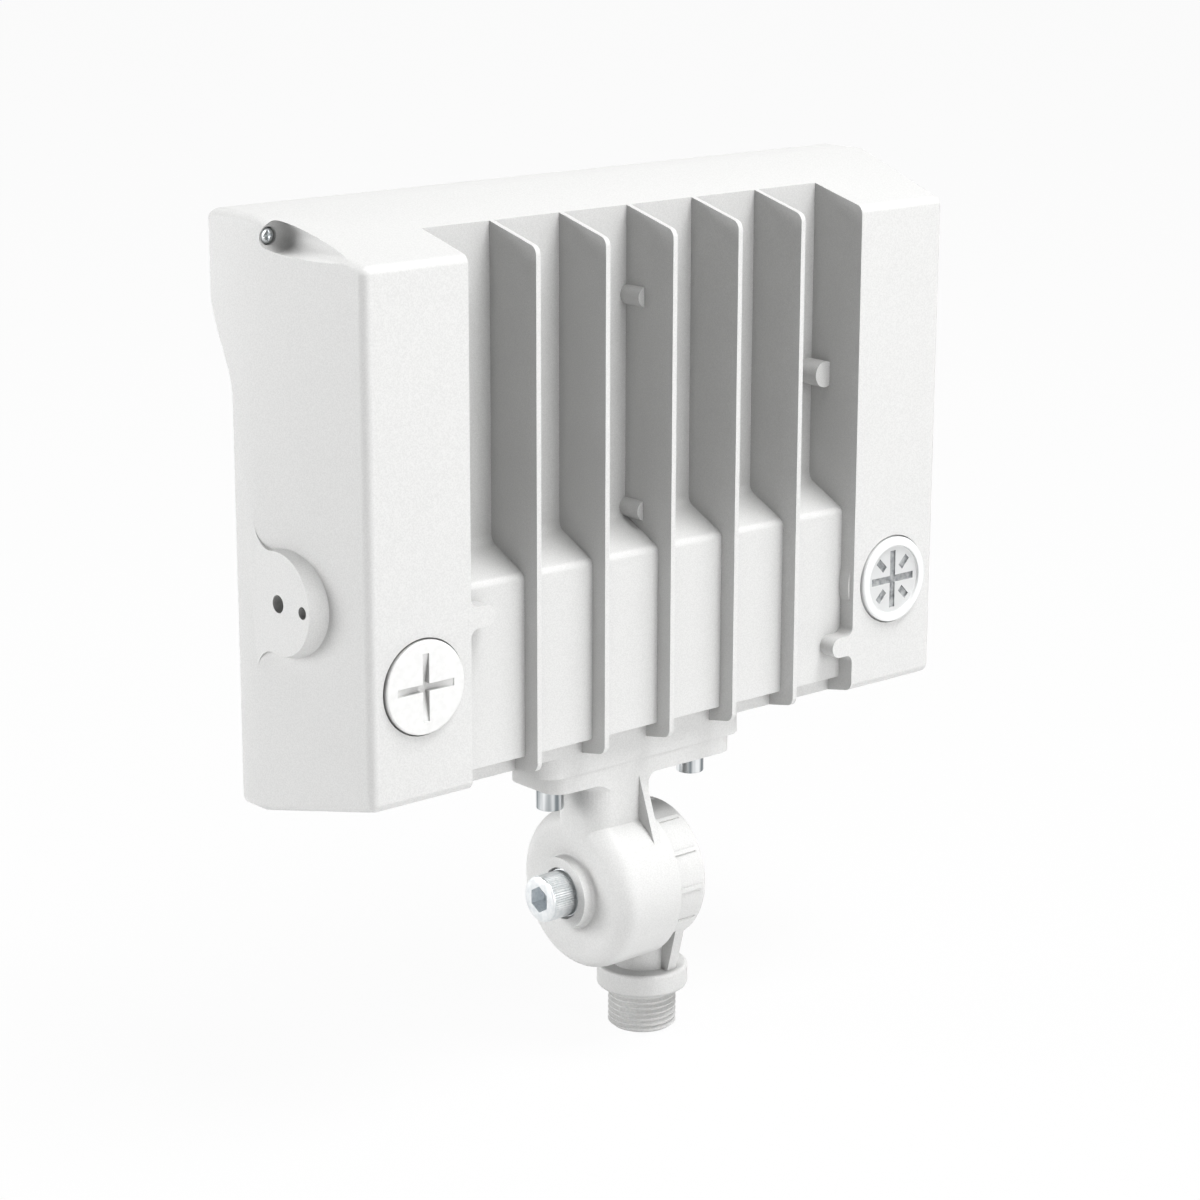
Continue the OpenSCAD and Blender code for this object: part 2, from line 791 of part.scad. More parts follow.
module board_screws() {
    face = floor_in + pad_t + board_t;
    color(silver) head() for (x = [-1, 1], z = [-1, 1])
        screw_facing_front([x * (board_w / 2 - board_inset), -face,
            board_mid_z + z * (board_h / 2 - board_inset)], small_r,
            pad_t + board_t + base_t * bite_share - seat, small_head_r, small_head_h);
}

module driver_plate() {
    color(silver) head() difference() {
        slab(-driver_w / 2 - driver_ear, driver_w / 2 + driver_ear, driver_mid_z - driver_h / 2,
            driver_mid_z + driver_h / 2, driver_back, driver_back + driver_plate_t, frame_r);
        for (s = [-1, 1]) rod_y([s * (driver_w + driver_ear) / 2, -driver_back - driver_plate_t - over,
            driver_mid_z], small_r + fit, driver_plate_t + 2 * over);
    }
}

module driver_case() {
    color(black) head() slab(-driver_w / 2, driver_w / 2, driver_mid_z - driver_h / 2,
        driver_mid_z + driver_h / 2, driver_back + driver_plate_t,
        driver_back + driver_plate_t + driver_d, frame_r);
}

module driver_screws() {
    color(silver) head() for (s = [-1, 1])
        screw_facing_front([s * (driver_w + driver_ear) / 2, -driver_back - driver_plate_t,
            driver_mid_z], small_r, small_l, small_head_r, small_head_h);
}

module selector_board() {
    color(board_green) head() difference() {
        slab(-port_x - sel_board_w / 2, -port_x + sel_board_w / 2, port_z - sel_board_h / 2,
            port_z + sel_board_h / 2, sel_board_in, sel_board_in + sel_board_t, frame_r);
        for (s = [-1, 1]) rod_y([-port_x, -sel_board_in - sel_board_t - over,
            port_z + s * sel_post_gap / 2], small_r + fit, sel_board_t + 2 * over);
    }
}

module selector_screws() {
    color(silver) head() for (s = [-1, 1])
        screw_facing_front([-port_x, -sel_board_in - sel_board_t, port_z + s * sel_post_gap / 2],
            small_r, small_l, small_head_r, small_head_h);
}

// A slide switch on the selector board, one row above or below the other
module switch_place(s) { head() translate([-port_x, -sel_board_in, port_z + s * switch_gap / 2]) children(); }

module slide_switch() {
    color(black) difference() {
        block([-switch_w / 2, 0, -switch_h / 2], [switch_w / 2, switch_t, switch_h / 2]);
        block([-slider_w / 2 - slider_travel - fit, switch_t - slider_bite - fit, -slider_h / 2 - fit],
            [slider_w / 2 + slider_travel + fit, switch_t + over, slider_h / 2 + fit]);
    }
}

module slider() {
    color(plain_white) block([-slider_w / 2, switch_t - slider_bite, -slider_h / 2],
        [slider_w / 2, switch_t + slider_t, slider_h / 2]);
}

module power_switch() { switch_place(1) slide_switch(); }
module power_slider() { switch_place(1) slider(); }
module colour_switch() { switch_place(-1) slide_switch(); }
module colour_slider() { switch_place(-1) slider(); }

// A round head in its recess with a threaded body below, seen from behind
module port_body(x) {
    low = -port_recess_t + fit;
    head_edge_r = port_proud * head_edge_share;
    translate([x, 0, port_z]) rotate([-90, 0, 0]) rotate_extrude() polygon(concat(
        [[0, low - port_thread_l], [port_thread_r, low - port_thread_l], [port_thread_r, low]],
        [[oring_mid_r - oring_w / 2, low], [oring_mid_r - oring_w / 2, low + oring_t],
            [oring_mid_r + oring_w / 2, low + oring_t], [oring_mid_r + oring_w / 2, low]],
        [[port_r, low]], arc(port_r - head_edge_r, port_proud - head_edge_r, head_edge_r, 0, 90),
        [[0, port_proud]]));
}

module port_oring(x) {
    low = -port_recess_t + fit;
    color(black) head() translate([x, low, port_z]) rotate([-90, 0, 0]) difference() {
        cylinder(r = oring_mid_r + oring_w / 2 - seat, h = oring_t - seat);
        translate([0, 0, -over]) cylinder(r = oring_mid_r - oring_w / 2 + seat, h = oring_t + 2 * over);
    }
}

module closure_plug() {
    color(plain_white) head() difference() {
        port_body(port_x);
        // Two crossing slots that deepen towards the middle
        translate([port_x, port_proud, port_z]) for (a = [0, 90]) rotate([0, a, 0])
            translate([0, 0, -slot_w / 2]) linear_extrude(slot_w) polygon([
                [-plug_slot_half, over], [-plug_slot_half, -slot_end_t], [0, -plug_slot_t],
                [plug_slot_half, -slot_end_t], [plug_slot_half, over]]);
    }
}

module plug_oring() { port_oring(port_x); }

module selector_cover() {
    dish_r = port_r - cover_ring_w;
    dish_y = port_proud - cover_dish_t;
    color(clear) head() difference() {
        port_body(-port_x);
        rod_y([-port_x, dish_y, port_z], dish_r, cover_dish_t + over);
        rod_y([-port_x, -port_recess_t - port_thread_l - over, port_z], port_thread_r - cover_wall,
            port_recess_t + port_thread_l + over + dish_y - cover_wall);
        translate([-port_x, dish_y, port_z]) {
            for (a = [0, 90]) rotate([0, a, 0])
                block([-dish_r * long_slot_share, -cover_slot_t, -slot_w / 2],
                    [dish_r * long_slot_share, over, slot_w / 2]);
            for (a = [45:90:315]) rotate([0, a, 0])
                block([dish_r * short_slot_share, -cover_slot_t, -slot_w / 2],
                    [dish_r * long_slot_share, over, slot_w / 2]);
        }
    }
}

module cover_oring() { port_oring(-port_x); }

module flange_places() {
    head() for (s = [-1, 1]) translate([s * flange_pitch / 2, flange_mid_y, flange_z - flange_t])
        children();
}

module flange_screws() {
    color(silver) flange_places() translate([0, 0, -flange_washer_t - flange_head_h]) difference() {
        union() {
            rotate_extrude() polygon(concat([[0, 0]],
                arc(flange_head_r - head_edge, head_edge, head_edge, -90, 0),
                [[flange_head_r, flange_head_h], [0, flange_head_h]]));
            cylinder(r = flange_screw_r, h = flange_head_h + flange_screw_l);
        }
        translate([0, 0, -over]) cylinder(d = flange_socket / cos(30), h = flange_head_h / 2 + over, $fn = 6);
    }
}

module flange_washers() {
    color(silver) flange_places() translate([0, 0, -flange_washer_t]) difference() {
        cylinder(r = flange_head_r, h = flange_washer_t);
        translate([0, 0, -over]) cylinder(r = flange_screw_r + fit, h = flange_washer_t + 2 * over);
    }
}

module flange_gasket() {
    color(black) head() translate([wire_x - head_x, flange_mid_y, -foot_drop]) difference() {
        cylinder(r = gasket_r - loose / 2, h = gasket_t - seat);
        translate([0, 0, -over]) cylinder(r = gasket_r - gasket_w, h = gasket_t + 2 * over);
    }
}

// A profile of radius and height turned about the tilt axis, its height along X
module about_pivot() { translate([0, 0, pivot_z]) rotate([0, 90, 0]) rotate_extrude() children(); }

// The hollow fillet between the neck's side and the flange, seen from the side
module flare_profile(r) {
    polygon(concat([[-over, -r], [-seat, -r]], arc(r - seat, seat - r, r, 180, 90),
        [[r - seat, over], [-over, over]]));
}

// That fillet along both ends of the neck and round its corners, kept within the flange
module neck_flare(low_x, back, z) {
    intersection() {
        union() {
            translate([low_x, back, z]) rotate([90, 0, 0]) mirror([1, 0, 0])
                linear_extrude(neck_d) flare_profile(flare_r);
            translate([low_x + neck_w, back - neck_r, z]) rotate([90, 0, 0])
                linear_extrude(neck_d - 2 * neck_r) flare_profile(flare_r);
            for (p = [[back - neck_r, 0], [back - neck_d + neck_r, -90]])
                translate([low_x + neck_w - neck_r, p[0], z]) rotate([0, 0, p[1]])
                    rotate_extrude(angle = 90) translate([neck_r, 0]) flare_profile(flare_r);
        }
        head() translate([-flange_w / 2, -flange_in - flange_d, -flange_w])
            linear_extrude(flange_w) round_rect(flange_w, flange_d, foot_r);
    }
}

module arm() {
    flange_top = head_lift + flange_z;
    neck_back = back_y - flange_in;
    color(white_coat) difference() {
        union() {
            head() translate([-flange_w / 2, -flange_in - flange_d, flange_z - flange_t])
                linear_extrude(flange_t) round_rect(flange_w, flange_d, foot_r);
            translate([cup_end_x - neck_w, neck_back - neck_d, pivot_z])
                linear_extrude(flange_top - flange_t / 2 - pivot_z) polygon(concat([[0, 0]],
                    arc(neck_w - neck_r, neck_r, neck_r, -90, 0),
                    arc(neck_w - neck_r, neck_d - neck_r, neck_r, 0, 90), [[0, neck_d]]));
            neck_flare(cup_end_x - neck_w, neck_back, flange_top - flange_t);
            // The round cup with its shoulder, and the raised ring with a flared foot on it
            about_pivot() polygon(concat([[0, cup_x], [cup_r, cup_x]],
                arc(cup_r - cup_edge_r, cup_end_x - cup_edge_r, cup_edge_r, 0, 90),
                arc(boss_ring_r + boss_foot, cup_end_x + boss_foot, boss_foot, 270, 180),
                [[boss_ring_r, cup_end_x + boss_ring_h], [0, cup_end_x + boss_ring_h]]));
            // The gusset rib down the back of the neck
            along_x(gusset_x - gusset_t / 2, gusset_x + gusset_t / 2) polygon([
                [0, pivot_z], [0, flange_top - flange_t / 2], [neck_back, flange_top - flange_t / 2],
                [neck_back, flange_top - flange_t],
                [cup_r * cos(gusset_angle), pivot_z + cup_r * sin(gusset_angle)]]);
        }
        about_pivot() polygon([[hub_r, cup_x - over], [cup_hollow_r, cup_x - over],
            [cup_hollow_r, cup_end_x - cup_floor], [hub_r, cup_end_x - cup_floor]]);
        rod_x([cup_x - over, 0, pivot_z], bolt_r + fit, cup_l + boss_ring_h + 2 * over);
        rod_x([cup_end_x + boss_ring_h - counter_d, 0, pivot_z], counter_r, counter_d + over);
        rod_z([wire_x, back_y + flange_mid_y, pivot_z + hub_r + wire_floor], arm_wire_r,
            flange_top - pivot_z);
        flange_places() translate([0, 0, -over])
            cylinder(r = flange_screw_r + screw_play, h = flange_t + 2 * over);
    }
}

module knuckle_bolt() {
    color(silver) difference() {
        union() {
            about_pivot() polygon(concat([[0, bolt_seat_x], [bolt_head_r, bolt_seat_x]],
                arc(bolt_head_r - head_edge, bolt_seat_x + bolt_head_h - head_edge, head_edge, 0, 90),
                [[0, bolt_seat_x + bolt_head_h]]));
            rod_x([bolt_tip_x, 0, pivot_z], bolt_r, bolt_seat_x - bolt_tip_x + over);
        }
        translate([bolt_seat_x + bolt_head_h - socket_d, 0, pivot_z]) rotate([0, 90, 0])
            cylinder(d = bolt_socket / cos(30), h = socket_d + over, $fn = 6);
    }
}

module bolt_washer() {
    color(silver) difference() {
        rod_x([bolt_seat_x - washer_t + fit, 0, pivot_z], washer_r, washer_t - fit);
        rod_x([bolt_seat_x - washer_t - over, 0, pivot_z], bolt_r + fit, washer_t + 2 * over);
    }
}

// The pipe thread as a row of ring grooves, below the shoulder
module thread() {
    top = -thread_pitch * undercut_share;
    n = floor((thread_l + top) / thread_pitch);
    depth = thread_pitch * thread_depth_share;
    flat = thread_pitch * crest_share;
    root = thread_r - depth;
    rotate_extrude() polygon(concat([[0, over], [root, over]],
        [for (i = [0:n - 1], k = [0:3]) let (z = top - i * thread_pitch, rise = (thread_pitch - 2 * flat) / 2)
            k == 0 ? [root, z] : k == 1 ? [thread_r, z - rise]
                : k == 2 ? [thread_r, z - rise - flat] : [root, z - 2 * rise - flat]],
        [[root, -thread_l], [0, -thread_l]]));
}

module stem() {
    hollow_x = disc_back_x + disc_wall;
    mid_x = (disc_face_x + disc_back_x) / 2;
    color(white_coat) difference() {
        union() {
            thread();
            rotate_extrude() polygon(concat([[0, relief_t], [thread_r + loose, relief_t],
                [thread_r + loose, 0]], arc(collar_r - collar_edge_r, collar_edge_r,
                collar_edge_r, -90, 0), arc(collar_r - collar_edge_r, collar_h - collar_edge_r,
                collar_edge_r, 0, 90), [[0, collar_h]]));
            // The neck, which stays clear of the cup
            difference() {
                rod_z([0, 0, collar_h - over], stem_r, neck_top_z - collar_h + over);
                rod_x([disc_face_x, 0, pivot_z], cup_r + knuckle_gap, cup_l);
            }
            about_pivot() polygon(concat([[0, disc_face_x], [disc_r, disc_face_x]],
                arc(disc_r - disc_edge_r, disc_back_x + disc_edge_r, disc_edge_r, 0, -90),
                [[0, disc_back_x]]));
            // Narrow marks round the disc, and the rib down to the collar
            for (i = [0:mark_n - 1]) translate([0, 0, pivot_z]) rotate([i * 360 / mark_n, 0, 0])
                block([disc_back_x + disc_edge_r + mark_h, disc_r - mark_h, -mark_w / 2],
                    [disc_face_x - mark_h, disc_r + mark_h, mark_w / 2]);
            along_x(rib_x - rib_t / 2, rib_x + rib_t / 2) polygon([[0, collar_h - over],
                [rib_low_y, collar_h - over], [rib_low_y, collar_h], [rib_reach, rib_high_z], [0, pivot_z]]);
        }
        about_pivot() polygon([[hub_r, disc_face_x + over], [cup_hollow_r, disc_face_x + over],
            [cup_hollow_r, hollow_x], [hub_r, hollow_x]]);
        about_pivot() polygon([[seal_mid_r - seal_w / 2, disc_face_x + over],
            [seal_mid_r + seal_w / 2, disc_face_x + over], [seal_mid_r + seal_w / 2, disc_face_x - seal_d],
            [seal_mid_r - seal_w / 2, disc_face_x - seal_d]]);
        // The flat beside the disc's top
        translate([0, 0, pivot_z]) rotate([flat_mid, 0, 0])
            block([disc_back_x - over, disc_r * cos(flat_half), -disc_r * sin(flat_half)],
                [disc_face_x + over, disc_r + over, disc_r * sin(flat_half)]);
        rod_x([bolt_tip_x - seat, 0, pivot_z], bolt_r + fit, disc_l);
        rod_z([0, 0, -thread_l - over], wire_r, thread_l + collar_h + over);
        rod_z([mid_x, 0, collar_h - over], stem_wire_r, pivot_z - hub_r - collar_h);
    }
}

module knuckle_seal() {
    color(black) about_pivot() polygon([
        [seal_mid_r - seal_w / 2 + seat, disc_face_x - seal_d],
        [seal_mid_r + seal_w / 2 - seat, disc_face_x - seal_d],
        [seal_mid_r + seal_w / 2 - seat, disc_face_x + knuckle_gap / 4],
        [seal_mid_r - seal_w / 2 + seat, disc_face_x + knuckle_gap / 4]]);
}

stem();
knuckle_seal();
knuckle_bolt();
bolt_washer();
arm();
flange_gasket();
flange_screws();
flange_washers();
housing();
front_frame();
frame_gasket();
frame_screws();
glass();
glass_gasket();
reflector();
led_board();
leds();
thermal_pad();
board_screws();
driver_case();
driver_plate();
driver_screws();
selector_board();
selector_screws();
power_switch();
power_slider();
colour_switch();
colour_slider();
closure_plug();
plug_oring();
selector_cover();
cover_oring();
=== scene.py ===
import json
import math

import bmesh
import bpy
from mathutils import Matrix, Vector


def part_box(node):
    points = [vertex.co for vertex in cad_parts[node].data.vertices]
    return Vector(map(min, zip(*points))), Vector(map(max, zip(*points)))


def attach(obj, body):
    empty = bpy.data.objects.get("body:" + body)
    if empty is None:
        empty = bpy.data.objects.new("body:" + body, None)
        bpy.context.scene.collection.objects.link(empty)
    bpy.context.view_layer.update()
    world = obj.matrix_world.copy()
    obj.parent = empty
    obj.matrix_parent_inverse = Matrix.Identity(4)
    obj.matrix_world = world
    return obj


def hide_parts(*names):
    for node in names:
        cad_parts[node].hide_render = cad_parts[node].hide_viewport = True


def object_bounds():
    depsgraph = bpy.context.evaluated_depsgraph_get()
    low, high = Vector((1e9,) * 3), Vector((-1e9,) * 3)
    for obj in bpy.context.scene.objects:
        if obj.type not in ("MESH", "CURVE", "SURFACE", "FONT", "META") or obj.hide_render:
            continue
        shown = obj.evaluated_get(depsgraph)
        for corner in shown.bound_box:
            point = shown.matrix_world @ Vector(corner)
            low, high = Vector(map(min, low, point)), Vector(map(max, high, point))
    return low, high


bl_info = {
    "name": "Flood light",
    "version": (1, 0, 0),
    "blender": (4, 5, 0),
    "location": "View3D > Sidebar > Flood light",
    "description": "Dresses an outdoor flood light on a tilting knuckle",
    "category": "Add Mesh",
}

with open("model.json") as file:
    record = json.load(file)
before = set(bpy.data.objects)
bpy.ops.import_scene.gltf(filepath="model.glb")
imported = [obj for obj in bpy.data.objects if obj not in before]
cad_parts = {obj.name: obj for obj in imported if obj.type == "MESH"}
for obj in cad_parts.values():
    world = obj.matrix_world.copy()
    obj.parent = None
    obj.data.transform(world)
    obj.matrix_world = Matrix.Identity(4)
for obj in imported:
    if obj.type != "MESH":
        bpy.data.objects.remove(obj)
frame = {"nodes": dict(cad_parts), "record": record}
NODES = frame["nodes"]
SLOTS = {s["node"]: s["material_slot"] for s in frame["record"]["subparts"]}
BODIES = {n: b for b, ns in frame["record"]["behaviour"]["bodies"].items() for n in ns}
CAD_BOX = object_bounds()
MM = 0.001
BOSS_HOLE = Vector(next(m["pos_m"] for m in frame["record"]["mounts"] if m["name"] == "accessory_hole_left"))


def mm(value):
    """Millimetres as the metres that the frame is in."""
    return value * MM


# Materials


def linear(code, alpha=1.0):
    """A colour in hex, as it shows, as linear values."""
    parts = [int(code[i:i + 2], 16) / 255 for i in (1, 3, 5)]
    return [p / 12.92 if p <= 0.04045 else ((p + 0.055) / 1.055) ** 2.4 for p in parts] + [alpha]


def add(tree, kind, settings=None, links=None):
    """A node with its settings, and with links from other sockets into its inputs."""
    node = tree.nodes.new(kind)
    for key, value in (settings or {}).items():
        if isinstance(key, int) or key in node.inputs:
            node.inputs[key].default_value = value
        else:
            setattr(node, key, value)
    for key, socket in (links or {}).items():
        tree.links.new(socket, node.inputs[key])
    return node


def new_material(name, **sockets):
    """A material with one Principled shader, its values set on the shader's own sockets."""
    material = bpy.data.materials.new(name)
    material.use_nodes = True
    tree = material.node_tree
    shader = tree.nodes["Principled BSDF"]
    for key, value in sockets.items():
        shader.inputs[key.replace("_", " ")].default_value = value
    coords = add(tree, "ShaderNodeTexCoord").outputs["Object"]
    return material, tree, shader, coords


def per_metre(size_mm):
    """The scale of a pattern whose features are this many millimetres across."""
    return 1 / mm(size_mm)


def mottle(tree, shader, coords, tones, size_mm, detail=2.0):
    """The colour wanders between two near tones, given in hex or as linear values."""
    noise = add(tree, "ShaderNodeTexNoise", {"Scale": per_metre(size_mm), "Detail": detail},
                {"Vector": coords})
    ramp = add(tree, "ShaderNodeValToRGB", links={"Fac": noise.outputs["Fac"]})
    ramp.color_ramp.elements[0].position = 0.35
    ramp.color_ramp.elements[1].position = 0.65
    for element, tone in zip(ramp.color_ramp.elements, tones):
        element.color = linear(tone) if isinstance(tone, str) else tone
    tree.links.new(ramp.outputs["Color"], shader.inputs["Base Color"])
    return noise


def bumps(tree, shader, height, strength, depth_mm, below=None):
    """Raises the surface by a pattern, over the bumps below; gives the bumps for the next pattern."""
    links = {"Height": height}
    if below is not None:
        links["Normal"] = below
    bump = add(tree, "ShaderNodeBump", {"Strength": strength, "Distance": mm(depth_mm)}, links)
    tree.links.new(bump.outputs["Normal"], shader.inputs["Normal"])
    return bump.outputs["Normal"]


def paint_recess_shade(tree, shader, reach_mm, darkest):
    """Painted shade: the colour gets darker where walls stand round a place, within this reach."""
    recess = add(tree, "ShaderNodeAmbientOcclusion", {"Distance": mm(reach_mm), "samples": 4})
    painted_shade = add(tree, "ShaderNodeMapRange", {"From Min": 0.25, "From Max": 0.85, "To Min": darkest},
               {"Value": recess.outputs["AO"]})
    plain = shader.inputs["Base Color"].links[0].from_socket
    # A Mix node's two colours are its inputs 6 and 7, and its colour comes out at 2
    tone = add(tree, "ShaderNodeMix", {"data_type": "RGBA", "blend_type": "MULTIPLY", 0: 1.0},
               {6: plain, 7: painted_shade.outputs["Result"]})
    tree.links.new(tone.outputs[2], shader.inputs["Base Color"])


def powder_coat(tones):
    """White polyester powder coat, sprayed and baked on the casting: a matt sheen over a fine grain."""
    material, tree, shader, coords = new_material("powder_coat", IOR=1.5)
    # The real grain is about 0.2 mm; it is drawn coarser, or it wouldn't show
    grain = mottle(tree, shader, coords, tones, 0.4, 1.0)
    # Painted shade: the coat's colour greys in deep recesses, where shade falls
    paint_recess_shade(tree, shader, 40, 0.62)
    rough = add(tree, "ShaderNodeMapRange", {"To Min": 0.42, "To Max": 0.6},
                {"Value": grain.outputs["Fac"]})
    tree.links.new(rough.outputs["Result"], shader.inputs["Roughness"])
    peel = add(tree, "ShaderNodeTexNoise", {"Scale": per_metre(3.0), "Detail": 1.0}, {"Vector": coords})
    low = bumps(tree, shader, peel.outputs["Fac"], 0.25, 0.05)
    bumps(tree, shader, grain.outputs["Fac"], 0.6, 0.05, low)
    return material


def thin_coat():
    """The pipe thread, masked from most of the coat: a greyer, tighter surface that shows its cutting."""
    material, tree, shader, coords = new_material("thin_coat", Roughness=0.42, IOR=1.5)
    grain = mottle(tree, shader, coords, ("#D0D0CF", "#DCDCDB"), 0.6)
    bumps(tree, shader, grain.outputs["Fac"], 0.4, 0.03)
    return material


def plated_steel():
    """Zinc-plated steel, cold-headed: bright and even, the plating faintly clouded."""
    material, tree, shader, coords = new_material("plated_steel", Metallic=1.0)
    noise = mottle(tree, shader, coords, ("#DCE0E2", "#E8EAEB"), 1.5)
    rough = add(tree, "ShaderNodeMapRange", {"To Min": 0.26, "To Max": 0.36},
                {"Value": noise.outputs["Fac"]})
    tree.links.new(rough.outputs["Result"], shader.inputs["Roughness"])
    fine = add(tree, "ShaderNodeTexNoise", {"Scale": per_metre(0.4)}, {"Vector": coords})
    bumps(tree, shader, fine.outputs["Fac"], 0.05, 0.01)
    return material


def steel_painted_streaks():
    """Zinc-plated steel, drawn and headed: long streaks down the sides break up the shine; their light and
    dark colour is painted reflection.
    """
    material, tree, shader, coords = new_material("steel_painted_streaks", Metallic=1.0)
    # Streaks 2.2 mm wide and 60 mm long; the noise itself is one metre across
    stretch = add(tree, "ShaderNodeMapping",
                  {"Scale": (per_metre(2.2), per_metre(2.2), per_metre(60.0))}, {"Vector": coords})
    # Painted reflection: the streaks' colour runs from dark grey to near white, standing in for lamps
    # reflected down the sides
    lines = mottle(tree, shader, stretch.outputs["Vector"], ("#7C8387", "#F0F2F3"), 1000.0, 1.0)
    rough = add(tree, "ShaderNodeMapRange", {"To Min": 0.22, "To Max": 0.4}, {"Value": lines.outputs["Fac"]})
    tree.links.new(rough.outputs["Result"], shader.inputs["Roughness"])
    bumps(tree, shader, lines.outputs["Fac"], 0.1, 0.02)
    return material


def socket_painted_light():
    """The inside of a socket: painted light, a pale and dull steel colour that stands in for the light seen
    inside it.
    """
    material, tree, shader, coords = new_material("socket_painted_light", Metallic=0.1, Roughness=0.45)
    noise = mottle(tree, shader, coords, ("#DAE0E4", "#EBEFF2"), 1.0)
    bumps(tree, shader, noise.outputs["Fac"], 0.2, 0.02)
    return material


def moulded_polycarbonate():
    """White polycarbonate, moulded: smoother and a little glossier than the coat beside it."""
    material, tree, shader, coords = new_material("moulded_polycarbonate", Roughness=0.35, IOR=1.58)
    noise = mottle(tree, shader, coords, ("#F0F0EF", "#F6F6F5"), 2.0)
    # Painted shade: the deep crossed slots are coloured darker than the head
    paint_recess_shade(tree, shader, 4, 0.35)
    fine = add(tree, "ShaderNodeTexNoise", {"Scale": per_metre(0.5)}, {"Vector": coords})
    low = bumps(tree, shader, noise.outputs["Fac"], 0.1, 0.05)
    bumps(tree, shader, fine.outputs["Fac"], 0.15, 0.01, low)
    return material


def clear_polycarbonate():
    """Clear polycarbonate, moulded: a painted glow makes the thick ring white, and painted shade makes the
    dish, which is much thinner, a little greyer.
    """
    material, tree, shader, coords = new_material("clear_polycarbonate", IOR=1.5)
    low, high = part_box("selector_cover")
    middle = (low + high) / 2
    out = add(tree, "ShaderNodeVectorMath", {"operation": "SUBTRACT", 1: tuple(middle)}, {0: coords})
    flat = add(tree, "ShaderNodeVectorMath", {"operation": "MULTIPLY", 1: (1, 0, 1)},
               {0: out.outputs["Vector"]})
    away = add(tree, "ShaderNodeVectorMath", {"operation": "LENGTH"}, {0: flat.outputs["Vector"]})
    ring_w, blend = mm(2.8), mm(0.5)
    ring_in = (high.x - low.x) / 2 - ring_w
    ring = add(tree, "ShaderNodeMapRange", {"From Min": ring_in - blend, "From Max": ring_in + blend},
               {"Value": away.outputs["Value"]})
    # Painted light: near white for the ring's painted glow, grey for the dish's painted shade
    tone = add(tree, "ShaderNodeMix", {"data_type": "RGBA", 6: linear("#E4E5E5"), 7: linear("#FAFBFB")},
               {0: ring.outputs["Result"]})
    tree.links.new(tone.outputs[2], shader.inputs["Base Color"])
    clear = add(tree, "ShaderNodeMapRange", {"To Min": 0.08, "To Max": 0.05},
                {"Value": ring.outputs["Result"]})
    tree.links.new(clear.outputs["Result"], shader.inputs["Transmission Weight"])
    flow = add(tree, "ShaderNodeTexNoise", {"Scale": per_metre(6.0), "Distortion": 1.5},
               {"Vector": coords})
    rough = add(tree, "ShaderNodeMapRange", {"To Min": 0.04, "To Max": 0.16},
                {"Value": flow.outputs["Fac"]})
    tree.links.new(rough.outputs["Result"], shader.inputs["Roughness"])
    bumps(tree, shader, flow.outputs["Fac"], 0.1, 0.05)
    return material


def slot_painted_shade():
    """The slots moulded in the clear cover, in painted shade: their walls bend the light away, so they are
    coloured dark grey.
    """
    material, tree, shader, coords = new_material("slot_painted_shade", Roughness=0.15, IOR=1.5)
    noise = mottle(tree, shader, coords, ("#7C7F81", "#BDBFC0"), 2.5)
    bumps(tree, shader, noise.outputs["Fac"], 0.1, 0.05)
    return material


def toughened_glass():
    """Float glass, toughened: clear with a faint green, and the furnace rollers' slow waves."""
    material, tree, shader, coords = new_material(
        "toughened_glass", Base_Color=linear("#F2FAF7"), Roughness=0.02, IOR=1.52, Transmission_Weight=1.0)
    waves = add(tree, "ShaderNodeTexNoise", {"Scale": per_metre(40.0)}, {"Vector": coords})
    bumps(tree, shader, waves.outputs["Fac"], 0.05, 0.2)
    return material


def seal_rubber():
    """Black silicone rubber, moulded: dull, with a dusty bloom."""
    material, tree, shader, coords = new_material("seal_rubber", Roughness=0.7, IOR=1.42)
    noise = mottle(tree, shader, coords, ("#18191A", "#262729"), 0.8)
    bumps(tree, shader, noise.outputs["Fac"], 0.3, 0.03)
    return material


def white_enamel():
    """White enamel on pressed sheet: bright and even, with a slight orange peel."""
    material, tree, shader, coords = new_material("white_enamel", Roughness=0.25, IOR=1.52)
    noise = mottle(tree, shader, coords, ("#EFEFEC", "#F5F5F2"), 2.5)
    bumps(tree, shader, noise.outputs["Fac"], 0.2, 0.05)
    return material


def solder_mask(name, tones):
    """Solder mask, screened on a circuit board: glossy, with the copper's relief showing through."""
    material, tree, shader, coords = new_material(name, Roughness=0.3, IOR=1.55)
    mottle(tree, shader, coords, tones, 4.0)
    tracks = add(tree, "ShaderNodeTexVoronoi", {"Scale": per_metre(9.0), "feature": "DISTANCE_TO_EDGE"},
                 {"Vector": coords})
    edge = add(tree, "ShaderNodeMapRange", {"From Max": 0.08}, {"Value": tracks.outputs["Distance"]})
    bumps(tree, shader, edge.outputs["Result"], 0.4, 0.04)
    return material


def phosphor():
    """Phosphor in silicone, poured over the chips: a soft yellow dome surface with grains in it."""
    material, tree, shader, coords = new_material("phosphor", Roughness=0.35, IOR=1.41)
    noise = mottle(tree, shader, coords, ("#E2BE45", "#F1D672"), 0.3)
    bumps(tree, shader, noise.outputs["Fac"], 0.2, 0.02)
    return material


def silicone_pad():
    """Heat-conducting silicone pad, calendered: grey and matt with fine filler."""
    material, tree, shader, coords = new_material("silicone_pad", Roughness=0.8, IOR=1.4)
    noise = mottle(tree, shader, coords, ("#92979B", "#A8ADB1"), 0.5)
    bumps(tree, shader, noise.outputs["Fac"], 0.3, 0.03)
    return material


def black_pbt():
    """Black PBT, moulded: a fine spark-eroded texture that greys the highlights."""
    material, tree, shader, coords = new_material("black_pbt", Roughness=0.5, IOR=1.53)
    noise = mottle(tree, shader, coords, ("#1F2022", "#2B2C2E"), 0.5)
    bumps(tree, shader, noise.outputs["Fac"], 0.4, 0.03)
    return material


